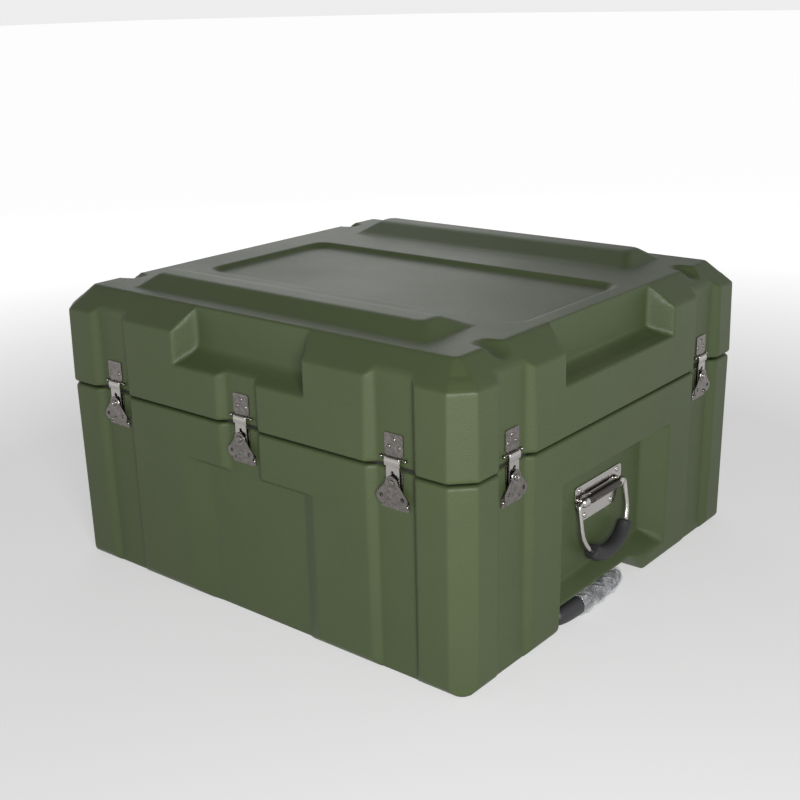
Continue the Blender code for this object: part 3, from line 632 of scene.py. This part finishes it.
def lathe(profile, origin, axis, segments=28):
    """Solid turned about an axis through origin, from (radius, distance along) points that start and
    end on the axis."""
    profile = np.asarray(profile, float)
    turn = np.linspace(0, 2 * math.pi, segments, endpoint=False)
    frame_turn = np.array(Vector(axis).to_track_quat("Z", "Y").to_matrix())
    ring = np.stack((np.cos(turn), np.sin(turn), 0 * turn), axis=-1)
    rows = ring[None] * profile[:, 0, None, None] + np.array((0, 0, 1.0)) * profile[:, 1, None, None]
    points = rows.reshape(-1, 3) @ frame_turn.T + np.asarray(origin, float)
    mesh = bpy.data.meshes.new("lathe")
    mesh.from_pydata(points.tolist(), [], ring_faces(len(profile), segments).tolist())
    return closed_mesh(mesh)


def closed_mesh(mesh):
    """Welds points that meet, closes open ends and turns the faces outwards."""
    bm = bmesh.new()
    bm.from_mesh(mesh)
    bmesh.ops.remove_doubles(bm, verts=bm.verts, dist=0.000002)
    bmesh.ops.holes_fill(bm, edges=[edge for edge in bm.edges if edge.is_boundary])
    bmesh.ops.recalc_face_normals(bm, faces=bm.faces)
    bm.to_mesh(mesh)
    bm.free()
    return mesh


def swept(path, radii, segments=24):
    """Round bar along a path in the XZ plane, with a radius at each of its points."""
    path, radii, up = np.asarray(path, float), np.asarray(radii, float), np.array((0.0, 1.0, 0.0))
    along = np.gradient(path, axis=0)
    along /= np.linalg.norm(along, axis=1, keepdims=True)
    across = np.cross(up, along)
    turn = np.linspace(0, 2 * math.pi, segments, endpoint=False)
    rows = path[:, None] + radii[:, None, None] * (np.cos(turn)[None, :, None] * across[:, None]
                                                   + np.sin(turn)[None, :, None] * up)
    mesh = bpy.data.meshes.new("swept")
    mesh.from_pydata(rows.reshape(-1, 3).tolist(), [], ring_faces(len(path), segments).tolist())
    return closed_mesh(mesh)


def joined(name, parts, place, finish, body, sharp=32, replace=True):
    """Piece of several closed parts, put in its place on a wall, in place of the CAD node of the
    same name. Edges sharper than the sharp angle, in degrees, stay crisp, and flat faces flat."""
    bm = bmesh.new()
    for part in parts:
        bm.from_mesh(part)
    bm.transform(place)
    mesh = bpy.data.meshes.new(name)
    bm.to_mesh(mesh)
    bm.free()
    mesh.shade_smooth()
    mesh.set_sharp_from_angle(angle=math.radians(sharp))
    piece = placed(name, mesh, finish, body, [name.removesuffix("_piece")] if replace else ())
    step = piece.modifiers.new("flat faces", "WEIGHTED_NORMAL")
    step.keep_sharp = True
    return piece


def arc(x, y, radius, start, end, steps):
    """Points on an arc, angles in degrees."""
    angles = [math.radians(start + (end - start) * i / steps) for i in range(steps + 1)]
    return [(x + radius * math.cos(t), y + radius * math.sin(t)) for t in angles]


def rounded(corners, steps=5):
    """Polygon through corners (x, y, radius) with arcs at them."""
    points = []
    for i, (x, y, radius) in enumerate(corners):
        here = Vector((x, y))
        back = (Vector(corners[i - 1][:2]) - here).normalized()
        on = (Vector(corners[(i + 1) % len(corners)][:2]) - here).normalized()
        half = back.angle(on) / 2
        centre = here + (back + on).normalized() * radius / math.sin(half)
        first = here + back * radius / math.tan(half) - centre
        last = here + on * radius / math.tan(half) - centre
        start = math.atan2(first.y, first.x)
        turn = (math.atan2(last.y, last.x) - start + math.pi) % (2 * math.pi) - math.pi
        points += arc(centre.x, centre.y, radius, math.degrees(start), math.degrees(start + turn), steps)
    return points


def both_ways(corners):
    """Outline from the corners of its right half, listed from the top down."""
    return corners + [(-x, y, radius) for x, y, radius in reversed(corners)]


def dome(x, z, base, radius, height):
    """Domed rivet head on a plate whose face is base out of the wall."""
    rise = [(radius * math.cos(t), base + height * math.sin(t)) for t in np.linspace(0, math.pi / 2, 6)]
    return lathe([(0, base - 0.0004), (radius, base - 0.0004)] + rise, (x, 0, z), (0, -1, 0), 20)


def turned_bead(x, out, z, radius):
    """Round knob at the end of a bar."""
    half = [(radius * math.sin(t), -radius * math.cos(t)) for t in np.linspace(0, math.pi, 11)]
    return lathe(half, (x, -out, z), (1, 0, 0), 20)


plated = Finish("nickel_plate", (0.17, 0.155, 0.148), 0.20, 1.0)
smudge = plated.noise(160.0, 3.0, 0.6).between(0.3, 0.7)
plated.feed("Roughness", smudge * 0.16 + 0.14)
plated.feed("Base Color", plated.mix(smudge, (0.15, 0.135, 0.13), (0.26, 0.24, 0.225)))
plated.bump(plated.noise(95.0, 2.0), 0.0012, 0.5)

# Painted shade: a darkened copy of the nickel plate for the handles' barrels, standing in for the dark
# reflection they show.
painted_shade_plate = Finish("painted_shade_nickel_plate", (0.075, 0.068, 0.064), 0.30, 1.0)
# Painted highlight: a lightened copy of the nickel plate for the hooks, so their curled ends read as lit.
painted_highlight_plate = Finish("painted_highlight_nickel_plate", (0.46, 0.44, 0.42), 0.20, 1.0)
RIVET = (0.0032, 0.0013)
STUD = (0.0034, 0.0024)

keeper_edge = rounded(both_ways([(0.0155, 0.066, 0.003), (0.0155, 0.038, 0.002), (0.012, 0.036, 0.001),
                                 (0.012, 0.031, 0.0005)]))
keeper_parts = [stamped([keeper_edge], 0.0003, 0.0018),
                lathe([(0, -0.020), (0.00135, -0.020), (0.00135, 0.020), (0, 0.020)],
                      (0, -0.00165, 0.0325), (1, 0, 0), 16),
                turned_bead(-0.020, 0.0029, 0.0325, 0.0026), turned_bead(0.020, 0.0029, 0.0325, 0.0026)]
keeper_parts += [dome(x, z, 0.0018, *RIVET) for x, z in
                 ((0.0, 0.0575), (0.0086, 0.0473), (-0.0086, 0.0473))]

plate_edge = rounded(both_ways([(0.0140, 0.0155, 0.002), (0.0140, -0.018, 0.003), (0.0240, -0.024, 0.003),
                                (0.0240, -0.0385, 0.004)]))
plate_parts = [stamped([plate_edge], 0.0003, 0.0018),
               lathe([(0, 0.0014), (0.0026, 0.0014), (0.0026, 0.0086), (0, 0.0086)],
                     (0, 0, 0), (0, -1, 0), 20),
               lathe([(0, 0.0084), (0.0042, 0.0084), (0.0044, 0.0087), (0.0041, 0.0092), (0.0032, 0.0095),
                      (0.0016, 0.0096), (0, 0.0096)], (0, 0, 0), (0, -1, 0), 24)]
plate_parts += [dome(x, -0.0315, 0.0018, *STUD) for x in (-0.0195, 0.0195)]

hook_edge = rounded(both_ways([(0.011, 0.0335, 0.002), (0.011, -0.019, 0.003)]))
hook_window = rounded(both_ways([(0.0076, 0.0032, 0.001), (0.0076, -0.0132, 0.001)]))
steps = np.linspace(0, 1, 13)
bulge = 0.0046 + 0.0016 * np.maximum(np.sin(math.pi * steps), 0) ** 0.8
rise = 0.0215 + 0.0120 * steps
curl = np.column_stack((np.concatenate((bulge + 0.0002, bulge[::-1] - 0.0009)),
                        np.concatenate((rise, rise[::-1]))))
curl_rows = np.stack([np.column_stack((x + 0 * curl[:, 0], -curl[:, 0], curl[:, 1]))
                      for x in (-0.0130, -0.0127, 0.0127, 0.0130)])
curl_mesh = bpy.data.meshes.new("curl")
curl_mesh.from_pydata(curl_rows.reshape(-1, 3).tolist(), [], ring_faces(*curl_rows.shape[:2]).tolist())
hook_parts = [closed_mesh(curl_mesh),
              stamped([hook_edge, hook_window, arc(0, 0.0125, 0.0032, 0, 345, 23)], 0.0034, 0.0050),
              lathe([(0, -0.0105), (0.0010, -0.0105), (0.00125, -0.0100), (0.00125, 0.0100),
                     (0.0010, 0.0105), (0, 0.0105)], (0, -0.00465, 0.0322), (1, 0, 0), 16)]

wing_edge = arc(0, 0, 0.009, 165, 15, 18) + arc(0.0172, -0.021, 0.009, 62, -118, 22)
wing_edge += arc(0, -0.0370, 0.0145, 32, 148, 16) + arc(-0.0172, -0.021, 0.009, -62, -242, 22)
wing_holes = [arc(x, -0.0195, 0.0030, 0, 345, 23) for x in (-0.0175, 0.0175)]
collar = [(0.0052 + 0.0053 * t, 0.0079 + 0.0012 * math.sin(math.pi * t) ** 0.35)
          for t in np.linspace(0, 1, 13)]
wing_parts = [lathe(collar + collar[:1], (0, 0, 0), (0, -1, 0), 36),
              stamped([wing_edge, arc(0, 0, 0.00295, 0, 345, 23)] + wing_holes, 0.0063, 0.0081, 0.0005),
              lathe([(0, 0.0034), (0.0020, 0.0034), (0.0020, 0.0066), (0, 0.0066)],
                    (0, 0, -0.005), (0, -1, 0), 16)]

LATCH_HEIGHT = 0.282
latches = {"front_left": (0, -FRONT_CHANNEL_AT), "front_middle": (0, 0.0),
           "front_right": (0, FRONT_CHANNEL_AT), "back_left": (2, FRONT_CHANNEL_AT),
           "back_middle": (2, 0.0), "back_right": (2, -FRONT_CHANNEL_AT),
           "right_front": (1, -END_CHANNEL_AT), "right_back": (1, END_CHANNEL_AT),
           "left_front": (3, END_CHANNEL_AT), "left_back": (3, -END_CHANNEL_AT)}
for where, (side, along) in latches.items():
    channel_floor = (HALF_Y, HALF_X)[side % 2] - CHANNEL_DEPTH
    facing = Matrix.Rotation(side * math.pi / 2, 4, "Z")
    place = facing @ Matrix.Translation((along, -channel_floor, LATCH_HEIGHT))
    joined(f"{where}_keeper_piece", keeper_parts, place, plated, "lid")
    joined(f"{where}_latch_plate_piece", plate_parts, place, plated, "base")
    # The hooks take the lightened copy of the nickel plate: a painted highlight.
    joined(f"{where}_hook_piece", hook_parts, place, painted_highlight_plate, f"{where}_hook")
    joined(f"{where}_wing_piece", wing_parts, place, plated, f"{where}_wing")


# ---------------------------------------------------------------- carry handles
# A bright plate with a round barrel is screwed to each end; a steel bail swings in it, and a thick
# foam rubber sleeve is threaded on the bail's bow.

bright = Finish("polished_steel", (0.50, 0.48, 0.46), 0.14, 1.0)
brushed = bright.noise(60.0, 3.0, 0.6).between(0.3, 0.7)
bright.feed("Roughness", brushed * 0.12 + 0.09)
bright.bump(bright.noise(48.0, 2.0), 0.0010, 0.35)
foam = Finish("foam_rubber", (0.010, 0.010, 0.011), 0.62)
barrel_out, tilt = 0.0084, math.radians(8)

handle_edge = rounded(both_ways([(0.067, 0.024, 0.006), (0.067, 0.004, 0.008), (0.0485, -0.035, 0.008)]))
cap = [(0.0081 * math.cos(t), 0.0525 + 0.0075 * math.sin(t)) for t in np.linspace(0, math.pi / 2, 10)]
handle_parts = [stamped([handle_edge], 0.0003, 0.0023, 0.0006)]
barrel = [(0, -0.0470), (0.0070, -0.0470), (0.0070, -0.0330), (0.0078, -0.0326)]
barrel += [(radius, -along) for radius, along in reversed(barrel)]
barrel_parts = [lathe(barrel, (0, -barrel_out, 0), (1, 0, 0), 40)]
cap = [(0, 0.046), (0.0078, 0.046), (0.0081, 0.0464)] + cap
handle_parts += [lathe(cap, (0, -barrel_out, 0), (way, 0, 0), 32) for way in (-1, 1)]
screw_places = ((-0.054, 0.0175), (0.054, 0.0175), (-0.038, -0.0265), (0.038, -0.0265))
handle_parts += [dome(x, z, 0.0023, 0.0044, 0.0018) for x, z in screw_places]
lip = rounded([(0.049, 0.0060, 0.001), (0.049, -0.0060, 0.001), (-0.049, -0.0060, 0.001),
               (-0.049, 0.0060, 0.001)])
handle_parts.append(stamped([lip], 0.0010, barrel_out, 0.0004))


BAIL_HALF, BAIL_ROD, BEND = 0.066, 0.004, 0.007


def bow(angle):
    """Points on the bail's bowed end, half of an ellipse; angle 0 is its lowest point."""
    return np.stack((BAIL_HALF * np.sin(angle), 0 * angle, -0.038 - 0.0553 * np.cos(angle)), axis=-1)


bend = np.array([(x, 0, z) for x, z in arc(BAIL_HALF - BEND, -BEND, BEND, 90, 0, 8)])
leg = np.array([(BAIL_HALF, 0, z) for z in np.linspace(-0.012, -0.034, 5)])
half_bow = bow(np.linspace(math.pi / 2, 0, 20))
bail_path = np.concatenate(([(0.040, 0, 0), (0.050, 0, 0)], bend, leg, half_bow))
bail_path = np.concatenate((bail_path, bail_path[-2::-1] * (-1, 1, 1)))
bail_parts = [swept(bail_path, np.full(len(bail_path), BAIL_ROD))]

angles = np.linspace(math.radians(-44), math.radians(60), 41)
from_end = np.minimum(angles - angles[0], angles[-1] - angles) * 0.060
sleeve_radii = 0.0115 - 0.0022 * (1 - np.clip(from_end / 0.0030, 0, 1)) ** 2.2
sleeve_parts = [swept(bow(angles), sleeve_radii)]

HANDLE_WALL, HANDLE_HEIGHT = 0.362, 0.165
for side, word in ((1, "right"), (3, "left")):
    facing = Matrix.Rotation(side * math.pi / 2, 4, "Z")
    place = facing @ Matrix.Translation((0, -HANDLE_WALL, HANDLE_HEIGHT))
    swung = place @ Matrix.Translation((0, -barrel_out, 0)) @ Matrix.Rotation(-tilt, 4, "X")
    joined(f"{word}_handle_plate_piece", handle_parts, place, bright, "base")
    # The barrel takes the darkened copy of the nickel plate: painted shade.
    joined(f"{word}_handle_barrel", barrel_parts, place, painted_shade_plate, "base", replace=False)
    joined(f"{word}_handle_bail_piece", bail_parts, swung, bright, f"{word}_handle", 50)
    joined(f"{word}_handle_sleeve_piece", sleeve_parts, swung, foam, f"{word}_handle", 40)


# ---------------------------------------------------------------- pull handle
# Two satin aluminium rods slide in tubes under the base and carry a moulded black rubber grip. Most
# of the grip is still in a crinkled clear film from its packing.

satin = Finish("satin_aluminium", (0.55, 0.56, 0.58), 0.34, 1.0)
grip_rubber = Finish("grip_rubber", (0.016, 0.016, 0.018), 0.50)
PULL_Y, PULL_Z, GRIP_HALF = -0.0585, 0.0195, 0.091


def around_grip(along, turn, out):
    """Grip's surface: along from -1 to 1 down its length, turn round it, moved out by out. Its oval
    section narrows towards rounded ends, and its middle line bows forward."""
    to_end = np.clip((1.0001 - np.abs(along)) / 0.08, 0, 1)
    slim = (1 - 0.35 * np.abs(along) ** 6) * np.sqrt(to_end * (2 - to_end))
    x = 0.3885 - 0.004 * along ** 2 + (0.0115 * slim + out) * np.cos(turn)
    z = PULL_Z + (0.015 * slim + out) * np.sin(turn)
    return np.stack((x, PULL_Y + GRIP_HALF * along, z), axis=-1)


def grip_mesh(name, from_along, to_along, steps, segments, out_of):
    """Closed mesh over a stretch of the grip, moved out by out_of(along, turn)."""
    along = np.linspace(from_along, to_along, steps)[:, None]
    turn = -np.linspace(0, 2 * math.pi, segments, endpoint=False)[None, :]
    rows = around_grip(along + 0 * turn, turn + 0 * along, out_of(along, turn))
    mesh = bpy.data.meshes.new(name)
    mesh.from_pydata(rows.reshape(-1, 3).tolist(), [], ring_faces(steps, segments).tolist())
    return closed_mesh(mesh)


joined("pull_grip_piece", [grip_mesh("grip", -1, 1, 61, 36, lambda a, t: 0 * a + 0 * t)],
       Matrix.Identity(4), grip_rubber, "pull_handle", 60)
ROD_SPREAD = 0.072
rod = [(0, -0.060), (0.0066, -0.060), (0.0070, -0.0596), (0.0070, 0.387), (0, 0.387)]
for where, y in (("front", PULL_Y - ROD_SPREAD), ("back", PULL_Y + ROD_SPREAD)):
    joined(f"pull_rod_{where}_piece", [lathe(rod, (0, y, PULL_Z), (1, 0, 0), 32)],
           Matrix.Identity(4), satin, "pull_handle")


def crinkle(along, turn):
    """Loose folds in a thin film: three sets of slanted ridges of different pitch that cross one
    another, each 1 - |sin| of a wandering angle, raised to a power to sharpen its crests."""
    first = (1 - np.abs(np.sin(5.5 * along + 1.5 * turn + 0.8 * np.sin(3 * along + turn)))) ** 2
    second = (1 - np.abs(np.sin(11.0 * along - 2.0 * turn + 1.7 * np.sin(4 * along)))) ** 3
    third = (1 - np.abs(np.sin(19.0 * along + 3.0 * turn + 1.1 * np.cos(7 * along - turn)))) ** 3
    return 0.0006 + 0.0022 * first + 0.0018 * second + 0.0013 * third


film = Finish("clear_film", (0.42, 0.43, 0.44), 0.10)
film.shader.inputs["Specular IOR Level"].default_value = 1.0
creases = film.noise(55.0, 4.0, 0.65).between(0.40, 0.66)
film.feed("Alpha", creases * 0.42 + 0.22)
film.bump(film.noise(130.0, 3.0, 0.6), 0.0015, 0.9)
film_mesh = grip_mesh("film", -0.36, 0.995, 220, 96, crinkle)
film_mesh.shade_smooth()
placed("grip_film", film_mesh, film, "pull_handle")


# ---------------------------------------------------------------- wheels
# Two small moulded black wheels in slots under the -X end. Each turns on the axle of a folded
# bracket, which keeps its CAD form.

wheel_rubber = Finish("wheel_rubber", (0.014, 0.014, 0.015), 0.55)
tyre = [(0.0045, 0.012), (0.0100, 0.012), (0.0108, 0.0106), (0.0205, 0.0106), (0.0214, 0.012),
        (0.0268, 0.012)]
tyre += [(0.0270 + 0.003 * math.sin(t), 0.0090 + 0.003 * math.cos(t))
         for t in np.linspace(0.2, math.pi / 2, 6)]
tyre += [(0.0300, 0.0010), (0.0294, 0.0004)]
tyre_loop = np.array(tyre + [(r, -out) for r, out in reversed(tyre)] + tyre[:1])
WHEEL_X, WHEEL_Y, WHEEL_Z = -0.368, 0.3335, 0.032
for where, y in (("front", -WHEEL_Y), ("back", WHEEL_Y)):
    joined(f"wheel_{where}_piece", [lathe(tyre_loop, (WHEEL_X, y, WHEEL_Z), (0, 1, 0), 48)],
           Matrix.Identity(4), wheel_rubber, f"wheel_{where}", 40)


# ---------------------------------------------------------------- pieces carried over, and the floor
# The rubber seal between the rims, the pull handle's two aluminium tubes and the steel wheel
# brackets keep their CAD form and take a finish here. The floor glows a little, more so far off.

def refinished(names, finish):
    """Gives carried-over CAD nodes a finish."""
    for name in names:
        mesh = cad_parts[name].data
        mesh.materials.clear()
        mesh.materials.append(finish.material)


seal = Finish("dark_seal", (0.010, 0.010, 0.010), 0.8)
refinished(["lid_gasket"], seal)
refinished(["pull_tube_front", "pull_tube_back"], satin)
refinished(["wheel_bracket_front", "wheel_bracket_back"], plated)

paper = Finish("pale_floor", (0.34, 0.34, 0.34), 0.85)
paper.shader.inputs["Specular IOR Level"].default_value = 0.0
paper.shader.inputs["Emission Strength"].default_value = 1.0
far = paper.node("ShaderNodeVectorMath", {"operation": "LENGTH"}, {0: paper.place}, "Value")
paper.feed("Emission Color", paper.mix(far.between(0.9, 2.4), (0.44, 0.44, 0.44), (0.86, 0.86, 0.86)))
floor_mesh.materials.append(paper.material)
